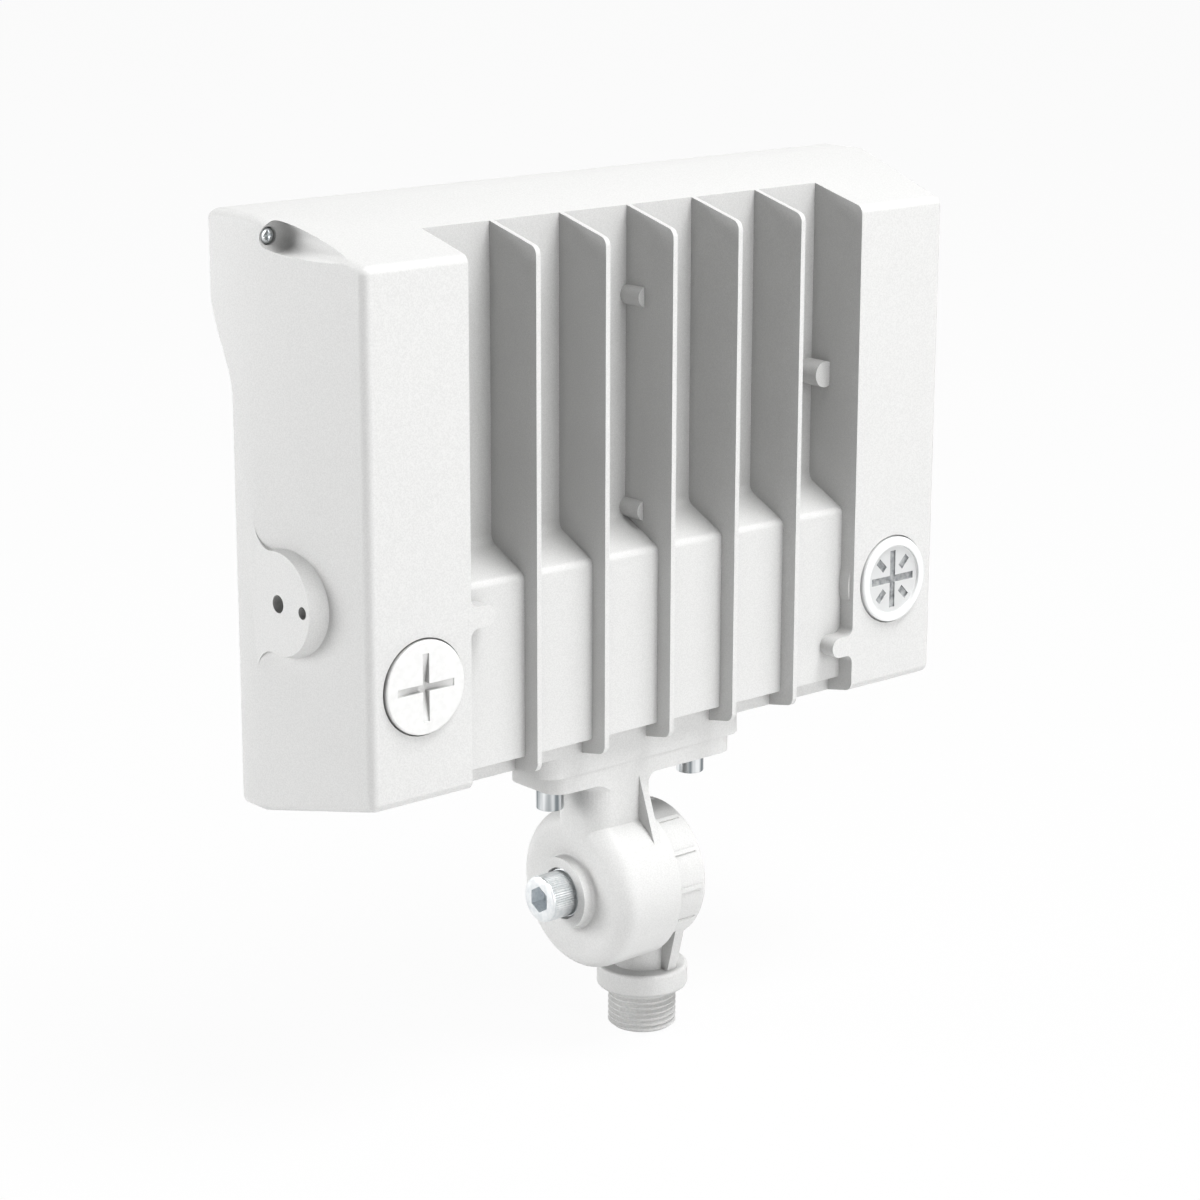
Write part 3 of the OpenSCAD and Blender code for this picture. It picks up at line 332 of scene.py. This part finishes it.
def rolled_aluminium():
    """Rolled aluminium sheet: grey with long fine lines in the rolling direction."""
    material, tree, shader, coords = new_material(
        "rolled_aluminium", Base_Color=linear("#C9CBCD"), Metallic=1.0)
    # Lines 0.4 mm wide and 30 mm long
    stretch = add(tree, "ShaderNodeMapping",
                  {"Scale": (per_metre(30.0), per_metre(0.4), per_metre(0.4))}, {"Vector": coords})
    lines = add(tree, "ShaderNodeTexNoise", {"Scale": 1.0}, {"Vector": stretch.outputs["Vector"]})
    rough = add(tree, "ShaderNodeMapRange", {"To Min": 0.28, "To Max": 0.45}, {"Value": lines.outputs["Fac"]})
    tree.links.new(rough.outputs["Result"], shader.inputs["Roughness"])
    bumps(tree, shader, lines.outputs["Fac"], 0.2, 0.01)
    return material


# Filled by the finishes operator: a finish for each slot of the record, and the extra ones
MATERIALS = {}


# Meshes


def dress(name, mesh, node, extra=(), finish=None):
    """Puts a mesh in place of its CAD node, with the node's body, and its finish or another."""
    piece = bpy.data.objects.new(name, mesh)
    bpy.context.scene.collection.objects.link(piece)
    slot = SLOTS[node]
    for key in (finish or slot,) + tuple(extra):
        mesh.materials.append(MATERIALS[key])
    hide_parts(node)
    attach(piece, BODIES[node])
    return piece


def close_mesh(bm, name, smooth_deg=35):
    """Turns a bmesh into a smooth mesh whose edges past an angle stay sharp."""
    mesh = bpy.data.meshes.new(name)
    for face in bm.faces:
        face.smooth = True
    bm.to_mesh(mesh)
    bm.free()
    mesh.set_sharp_from_angle(angle=math.radians(smooth_deg))
    return mesh


def merged_copy(node, merge_mm=0.002, flat_deg=1.0):
    """A copy of a CAD node's mesh with its triangles joined into flat faces."""
    bm = bmesh.new()
    bm.from_mesh(NODES[node].data)
    bmesh.ops.remove_doubles(bm, verts=bm.verts, dist=mm(merge_mm))
    bmesh.ops.dissolve_limit(bm, angle_limit=math.radians(flat_deg), use_dissolve_boundaries=False,
                             verts=bm.verts, edges=bm.edges)
    return bm


def soften(bm, width, segments=2, sharp_deg=30, keep=None):
    """Rounds every edge sharper than an angle; keep says which edges to leave."""
    limit = math.radians(sharp_deg)
    edges = [e for e in bm.edges if len(e.link_faces) == 2 and e.calc_face_angle(0) > limit
             and (keep is None or not keep(e))]
    bmesh.ops.bevel(bm, geom=edges, offset=width, offset_type="OFFSET", affect="EDGES",
                    segments=segments, profile=0.5, material=-1, clamp_overlap=True)


def weighted(piece):
    """Big flat faces keep their own shading next to rounded edges."""
    modifier = piece.modifiers.new("weighted_normals", "WEIGHTED_NORMAL")
    modifier.keep_sharp = True


class FloodLightFinish(bpy.types.PropertyGroup):
    """The coat's colours and the small sizes of the finished pieces."""

    coat_dark: bpy.props.FloatVectorProperty(
        name="Coat, darker", description="The darker of the two tones in the powder coat's grain", size=4,
        default=linear("#DEDEDD"), min=0, max=1, subtype="COLOR")
    coat_light: bpy.props.FloatVectorProperty(
        name="Coat, lighter", description="The lighter of the two tones in the powder coat's grain", size=4,
        default=linear("#E7E7E6"), min=0, max=1, subtype="COLOR")
    cast_edge: bpy.props.FloatProperty(
        name="Cast edge", description="Radius on the edges of the castings", default=mm(0.5),
        unit="LENGTH")
    screw_edge: bpy.props.FloatProperty(
        name="Screw edge", description="Radius on the edges of screws", default=mm(0.25),
        unit="LENGTH")
    knurls: bpy.props.IntProperty(
        name="Knurls", description="Number of knurls round the pivot bolt's head", default=60, min=12)


class FloodLightStage(bpy.types.PropertyGroup):
    """Camera and lights."""

    lens: bpy.props.FloatProperty(
        name="Lens", description="Focal length of the camera", default=94.27, unit="CAMERA")
    azimuth: bpy.props.FloatProperty(
        name="Azimuth", description="Direction of the camera round the object",
        default=math.radians(139.31), subtype="ANGLE")
    elevation: bpy.props.FloatProperty(
        name="Elevation", description="Height angle of the camera", default=math.radians(14.95),
        subtype="ANGLE")
    roll: bpy.props.FloatProperty(
        name="Roll", description="Turn of the camera about its own axis",
        default=math.radians(0.137), subtype="ANGLE")
    place: bpy.props.FloatVectorProperty(
        name="Place", description="Where the camera stands", default=(0.6135, 0.6928, 0.37145),
        subtype="XYZ", unit="LENGTH")
    back_light: bpy.props.FloatProperty(
        name="Back light", description="Strength of the lamp behind the fins", default=13.2, unit="POWER")
    side_light: bpy.props.FloatProperty(
        name="Side light", description="Strength of the lamp at the side", default=23.5, unit="POWER")
    top_light: bpy.props.FloatProperty(
        name="Top light", description="Strength of the lamp above", default=32.5, unit="POWER")
    lamp_size: bpy.props.FloatProperty(
        name="Lamp size", description="Diameter of each lamp", default=1, unit="LENGTH")
    lamp_gap: bpy.props.FloatProperty(
        name="Lamp distance", description="From each lamp to the middle of the flood light", default=1.8,
        unit="LENGTH")
    sky: bpy.props.FloatProperty(
        name="Sky", description="Strength of the even light from all round", default=0.0, min=0)


class FLOODLIGHT_OT_stage(bpy.types.Operator):
    """Adds the camera, the lamps, the world and the floor"""

    bl_idname = "floodlight.stage"
    bl_label = "Stage"

    def execute(self, context):
        stage = context.scene.flood_light_stage
        camera = bpy.data.objects.new("camera", bpy.data.cameras.new("camera"))
        context.scene.collection.objects.link(camera)
        camera.data.lens = stage.lens
        camera.data.sensor_width = 36
        az, el = stage.azimuth, stage.elevation
        back = Vector((math.sin(az) * math.cos(el), -math.cos(az) * math.cos(el), math.sin(el)))
        right = (-back).cross(Vector((0, 0, 1))).normalized()
        up = right.cross(-back)
        c, s = math.cos(stage.roll), math.sin(stage.roll)
        axes = (right * c + up * s, up * c - right * s, back)
        camera.matrix_world = Matrix.Translation(stage.place) @ Matrix(axes).transposed().to_4x4()
        context.scene.camera = camera

        aim = (CAD_BOX[0] + CAD_BOX[1]) / 2
        # Each lamp's direction: degrees from the fins' side towards +X, and degrees up
        lamps = (("back_lamp", -5, 12, stage.back_light), ("side_lamp", 127, 8, stage.side_light),
                 ("top_lamp", -25, 68, stage.top_light))
        for name, turn, rise, power in lamps:
            turn, rise = math.radians(turn), math.radians(rise)
            away = Vector((math.sin(turn) * math.cos(rise), math.cos(turn) * math.cos(rise), math.sin(rise)))
            lamp = bpy.data.objects.new(name, bpy.data.lights.new(name, "AREA"))
            lamp.data.shape = "DISK"
            lamp.data.size = stage.lamp_size
            lamp.data.energy = power
            lamp.location = aim + away * stage.lamp_gap
            lamp.rotation_euler = away.to_track_quat("Z", "Y").to_euler()
            context.scene.collection.objects.link(lamp)

        world = bpy.data.worlds.new("studio")
        context.scene.world = world
        world.use_nodes = True
        tree = world.node_tree
        tree.nodes.clear()
        white = self.seen_as_white(tree)
        even = add(tree, "ShaderNodeBackground", {"Color": (1, 1, 1, 1), "Strength": stage.sky})
        plain = add(tree, "ShaderNodeBackground", {"Color": (1, 1, 1, 1), "Strength": 1.0})
        mix = add(tree, "ShaderNodeMixShader", links={0: white, 1: even.outputs[0], 2: plain.outputs[0]})
        add(tree, "ShaderNodeOutputWorld", links={"Surface": mix.outputs[0]})

        bm = bmesh.new()
        floor_half, floor_gap = 8, mm(0.5)
        floor_z = CAD_BOX[0].z - floor_gap
        bmesh.ops.create_grid(bm, x_segments=1, y_segments=1, size=floor_half,
                              matrix=Matrix.Translation((0, 0, floor_z)))
        floor = bpy.data.objects.new("floor", close_mesh(bm, "floor"))
        context.scene.collection.objects.link(floor)
        material = bpy.data.materials.new("white_paper")
        material.use_nodes = True
        tree = material.node_tree
        tree.nodes.clear()
        # Paper takes the shadow; most of what the camera sees of it is plain white
        white_share = 0.96
        paper = add(tree, "ShaderNodeBsdfDiffuse", {"Color": linear("#EDEDED")})
        bright = add(tree, "ShaderNodeEmission", {"Color": (1, 1, 1, 1), "Strength": 1.0})
        share = add(tree, "ShaderNodeMath", {"operation": "MULTIPLY", 1: white_share},
                    {0: self.seen_as_white(tree)})
        mix = add(tree, "ShaderNodeMixShader",
                  links={0: share.outputs[0], 1: paper.outputs[0], 2: bright.outputs[0]})
        add(tree, "ShaderNodeOutputMaterial", links={"Surface": mix.outputs[0]})
        floor.data.materials.append(material)
        context.scene.view_settings.view_transform = "Standard"
        return {"FINISHED"}

    @staticmethod
    def seen_as_white(tree):
        """One where a ray comes from the camera, from a reflection or through glass."""
        path = add(tree, "ShaderNodeLightPath")
        first = add(tree, "ShaderNodeMath", {"operation": "MAXIMUM"},
                    {0: path.outputs["Is Camera Ray"], 1: path.outputs["Is Glossy Ray"]})
        both = add(tree, "ShaderNodeMath", {"operation": "MAXIMUM"},
                   {0: first.outputs[0], 1: path.outputs["Is Transmission Ray"]})
        return both.outputs[0]


class FLOODLIGHT_OT_finishes(bpy.types.Operator):
    """Makes the coat, the metals, the plastics and every other finish"""

    bl_idname = "floodlight.finishes"
    bl_label = "Finishes"

    def execute(self, context):
        finish = context.scene.flood_light_finish
        MATERIALS.update({
            "coat": powder_coat((finish.coat_dark, finish.coat_light)),
            "plated_steel": plated_steel(),
            "seal_rubber": seal_rubber(),
            "plug_plastic": moulded_polycarbonate(),
            "clear_plastic": clear_polycarbonate(),
            "glass": toughened_glass(),
            "reflector_white": white_enamel(),
            "board_white": solder_mask("white_solder_mask", ("#E6E8E2", "#EFF0EC")),
            "phosphor": phosphor(),
            "pad_grey": silicone_pad(),
            "driver_black": black_pbt(),
            "sheet_aluminium": rolled_aluminium(),
            "board_green": solder_mask("green_solder_mask", ("#1F5B3A", "#2A6E48")),
            "thin_coat": thin_coat(),
            "socket": socket_painted_light(),
            "steel_painted_streaks": steel_painted_streaks(),
            "slots": slot_painted_shade(),
        })
        return {"FINISHED"}


class FLOODLIGHT_OT_castings(bpy.types.Operator):
    """Rounds the edges of the housing, the front frame, the arm and the stem"""

    bl_idname = "floodlight.castings"
    bl_label = "Castings"

    def execute(self, context):
        edge = context.scene.flood_light_finish.cast_edge
        for node in ("housing", "front_frame", "arm"):
            bm = merged_copy(node)
            if node == "housing":
                self.boss_roots(bm)
            soften(bm, edge, segments=3)
            weighted(dress("cast_" + node, close_mesh(bm, node), node))
        # The thread hangs below the stem's origin; its edges stay sharp, and it takes the thin coat
        bm = merged_copy("stem")
        stem_edge_share, thread_top = 0.4, -mm(0.1)
        soften(bm, edge * stem_edge_share, keep=lambda e: e.verts[0].co.z < 0 and e.verts[1].co.z < 0)
        for face in bm.faces:
            if face.calc_center_median().z < thread_top:
                face.material_index = 1
        weighted(dress("cast_stem", close_mesh(bm, "stem"), "stem", extra=("thin_coat",)))
        return {"FINISHED"}

    @staticmethod
    def boss_roots(bm):
        """Fills the corner where each round boss meets the housing's side."""
        fillet, sharpest = mm(2), math.radians(25)
        # A root lies this near to the housing's side, and between these distances from the boss's hole
        side_max, away_min, away_max = mm(8), mm(13), mm(20)
        low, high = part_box("housing")
        roots = []
        for e in bm.edges:
            if len(e.link_faces) != 2 or e.is_convex or e.calc_face_angle(0) < sharpest:
                continue
            mid = (e.verts[0].co + e.verts[1].co) / 2
            side = min(mid.x - low.x, high.x - mid.x)
            away = math.hypot(mid.y - BOSS_HOLE.y, mid.z - BOSS_HOLE.z)
            if side < side_max and away_min < away < away_max:
                roots.append(e)
        bmesh.ops.bevel(bm, geom=roots, offset=fillet, offset_type="OFFSET", affect="EDGES", segments=5,
                        profile=0.5, material=-1, clamp_overlap=True)


class FLOODLIGHT_OT_screws(bpy.types.Operator):
    """Rounds the small screws and models the pivot bolt with its knurled head"""

    bl_idname = "floodlight.screws"
    bl_label = "Screws"

    def execute(self, context):
        finish = context.scene.flood_light_finish
        for node in ("frame_screws", "flange_screws", "flange_washers", "bolt_washer", "board_screws",
                     "driver_screws", "selector_screws"):
            bm = merged_copy(node)
            soften(bm, finish.screw_edge, sharp_deg=40)
            # The flange screws take the steel whose streaks are painted reflection
            drawn = "steel_painted_streaks" if node == "flange_screws" else None
            weighted(dress("turned_" + node, close_mesh(bm, node), node, finish=drawn))
        self.pivot_bolt(finish)
        return {"FINISHED"}

    def pivot_bolt(self, finish):
        """The bolt as rings along its outline, bridged, with knurls in the side of its head."""
        low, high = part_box("knuckle_bolt")
        head_r = (high.z - low.z) / 2
        axis_z = (high.z + low.z) / 2
        shank_r, shank_edge = mm(4.76), mm(0.5)
        head_h, seat_edge, plain_band = mm(9.5), mm(0.3), mm(0.15)
        knurl_t = mm(0.18)
        socket_r = mm(7.3) / 2 / math.cos(math.radians(30))
        socket_d = mm(5)
        # The head's rounded rim: how far in from its side and down from its end, in mm
        rim_steps = ((0, 0.7), (0.15, 0.35), (0.5, 0.1), (0.8, 0))
        rim_h = mm(rim_steps[0][1])
        seat = high.x - head_h
        plain = [(shank_r - shank_edge, low.x), (shank_r, low.x + shank_edge), (shank_r, seat),
                 (head_r - seat_edge, seat), (head_r, seat + seat_edge)]
        knurled = [(head_r, seat + seat_edge + plain_band), (head_r, high.x - rim_h - plain_band)]
        rim = [(head_r - mm(inward), high.x - mm(down)) for inward, down in rim_steps]

        def across(x):
            """Sets a flat circle across the bolt at this place along it."""
            return Matrix(((0, 0, 1, x), (1, 0, 0, 0), (0, 1, 0, axis_z), (0, 0, 0, 1)))

        def edges_of(ring):
            return [e for e in bm.edges if e.verts[0] in ring and e.verts[1] in ring]

        outline = plain + knurled + rim + [(socket_r, high.x)]
        bm = bmesh.new()
        # Two rings in one plane don't line up when bridged, so the rings start a step apart
        step = mm(1)
        rings = []
        for i, (radius, x) in enumerate(outline):
            corners = 6 if radius == socket_r else finish.knurls * 2
            ring = bmesh.ops.create_circle(bm, cap_ends=i in (0, len(outline) - 1), segments=corners,
                                           radius=radius, matrix=across(x + i * step))["verts"]
            if (radius, x) in knurled:
                share = (radius - knurl_t) / radius
                bmesh.ops.scale(bm, vec=(1, share, share), space=Matrix.Translation((0, 0, -axis_z)),
                                verts=ring[1::2])
            if rings:
                bmesh.ops.bridge_loops(bm, edges=edges_of(rings[-1]) + edges_of(ring))
            rings.append(ring)
        for i, ring in enumerate(rings):
            bmesh.ops.translate(bm, vec=(-i * step, 0, 0), verts=ring)
        # The socket sinks into the end, its walls and floor in the socket's painted light
        mouth = next(f for f in rings[-1][0].link_faces if len(f.verts) == 6)
        sunk = [v for v in bmesh.ops.extrude_face_region(bm, geom=[mouth])["geom"]
                if isinstance(v, bmesh.types.BMVert)]
        bmesh.ops.delete(bm, geom=[mouth], context="FACES_ONLY")
        bmesh.ops.translate(bm, vec=(-socket_d, 0, 0), verts=sunk)
        for vert in sunk:
            for face in vert.link_faces:
                face.material_index = 1
        bmesh.ops.recalc_face_normals(bm, faces=bm.faces)
        mesh = close_mesh(bm, "bolt", smooth_deg=30)
        weighted(dress("knurled_bolt", mesh, "knuckle_bolt", extra=("socket",)))


class FLOODLIGHT_OT_ports(bpy.types.Operator):
    """Finishes the closing plug and the clear cover in the back of the housing"""

    bl_idname = "floodlight.ports"
    bl_label = "Ports"

    def execute(self, context):
        edge_share = 0.6
        edge = context.scene.flood_light_finish.screw_edge * edge_share
        plug, cover = "closure_plug", "selector_cover"
        bm = merged_copy(plug)
        soften(bm, edge, sharp_deg=40)
        weighted(dress("moulded_" + plug, close_mesh(bm, plug), plug))
        bm = merged_copy(cover)
        self.mark_slot_shade(bm, cover)
        soften(bm, edge, sharp_deg=40)
        weighted(dress("moulded_" + cover, close_mesh(bm, cover), cover, extra=("slots",)))
        return {"FINISHED"}

    @staticmethod
    def mark_slot_shade(bm, node):
        """The walls and floors of the slots in the dish take the painted slot shade."""
        # Slots lie this far inside the head's edge, and between these depths below its top
        margin, shallowest, deepest = mm(3), mm(1.0), mm(1.8)
        low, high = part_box(node)
        middle = (low + high) / 2
        reach = (high.x - low.x) / 2 - margin
        for face in bm.faces:
            centre = face.calc_center_median()
            away = math.hypot(centre.x - middle.x, centre.z - middle.z)
            if away < reach and high.y - deepest < centre.y < high.y - shallowest:
                face.material_index = 1


class FLOODLIGHT_OT_inside(bpy.types.Operator):
    """Finishes the glass, the seals and what the housing holds"""

    bl_idname = "floodlight.inside"
    bl_label = "Inside"

    def execute(self, context):
        edge_share = 0.5
        edge = context.scene.flood_light_finish.screw_edge * edge_share
        for node in ("glass", "glass_gasket", "frame_gasket", "reflector", "led_board", "leds",
                     "thermal_pad", "driver_case", "driver_plate", "selector_board", "power_switch",
                     "power_slider", "colour_switch", "colour_slider", "knuckle_seal",
                     "flange_gasket", "plug_oring", "cover_oring"):
            bm = merged_copy(node)
            soften(bm, edge, sharp_deg=40)
            weighted(dress("fitted_" + node, close_mesh(bm, node), node))
        return {"FINISHED"}


class FLOODLIGHT_PT_panel(bpy.types.Panel):
    """Lists the flood light's operators and values"""

    bl_idname = "FLOODLIGHT_PT_panel"
    bl_label = "Flood light"
    bl_space_type = "VIEW_3D"
    bl_region_type = "UI"
    bl_category = "Flood light"

    def draw(self, context):
        for operator in OPERATORS:
            self.layout.operator(operator.bl_idname)
        for group in (context.scene.flood_light_finish, context.scene.flood_light_stage):
            for key in group.bl_rna.properties.keys():
                if key not in ("rna_type", "name"):
                    self.layout.prop(group, key)


OPERATORS = (FLOODLIGHT_OT_finishes, FLOODLIGHT_OT_stage, FLOODLIGHT_OT_castings,
             FLOODLIGHT_OT_screws, FLOODLIGHT_OT_ports, FLOODLIGHT_OT_inside)
CLASSES = (FloodLightFinish, FloodLightStage) + OPERATORS + (FLOODLIGHT_PT_panel,)


def register():
    for cls in CLASSES:
        bpy.utils.register_class(cls)
    bpy.types.Scene.flood_light_finish = bpy.props.PointerProperty(type=FloodLightFinish)
    bpy.types.Scene.flood_light_stage = bpy.props.PointerProperty(type=FloodLightStage)


def unregister():
    del bpy.types.Scene.flood_light_finish
    del bpy.types.Scene.flood_light_stage
    for cls in reversed(CLASSES):
        bpy.utils.unregister_class(cls)


def main():
    register()
    bpy.ops.floodlight.finishes()
    bpy.ops.floodlight.stage()
    bpy.ops.floodlight.castings()
    bpy.ops.floodlight.screws()
    bpy.ops.floodlight.ports()
    bpy.ops.floodlight.inside()


if __name__ == "__main__":
    main()
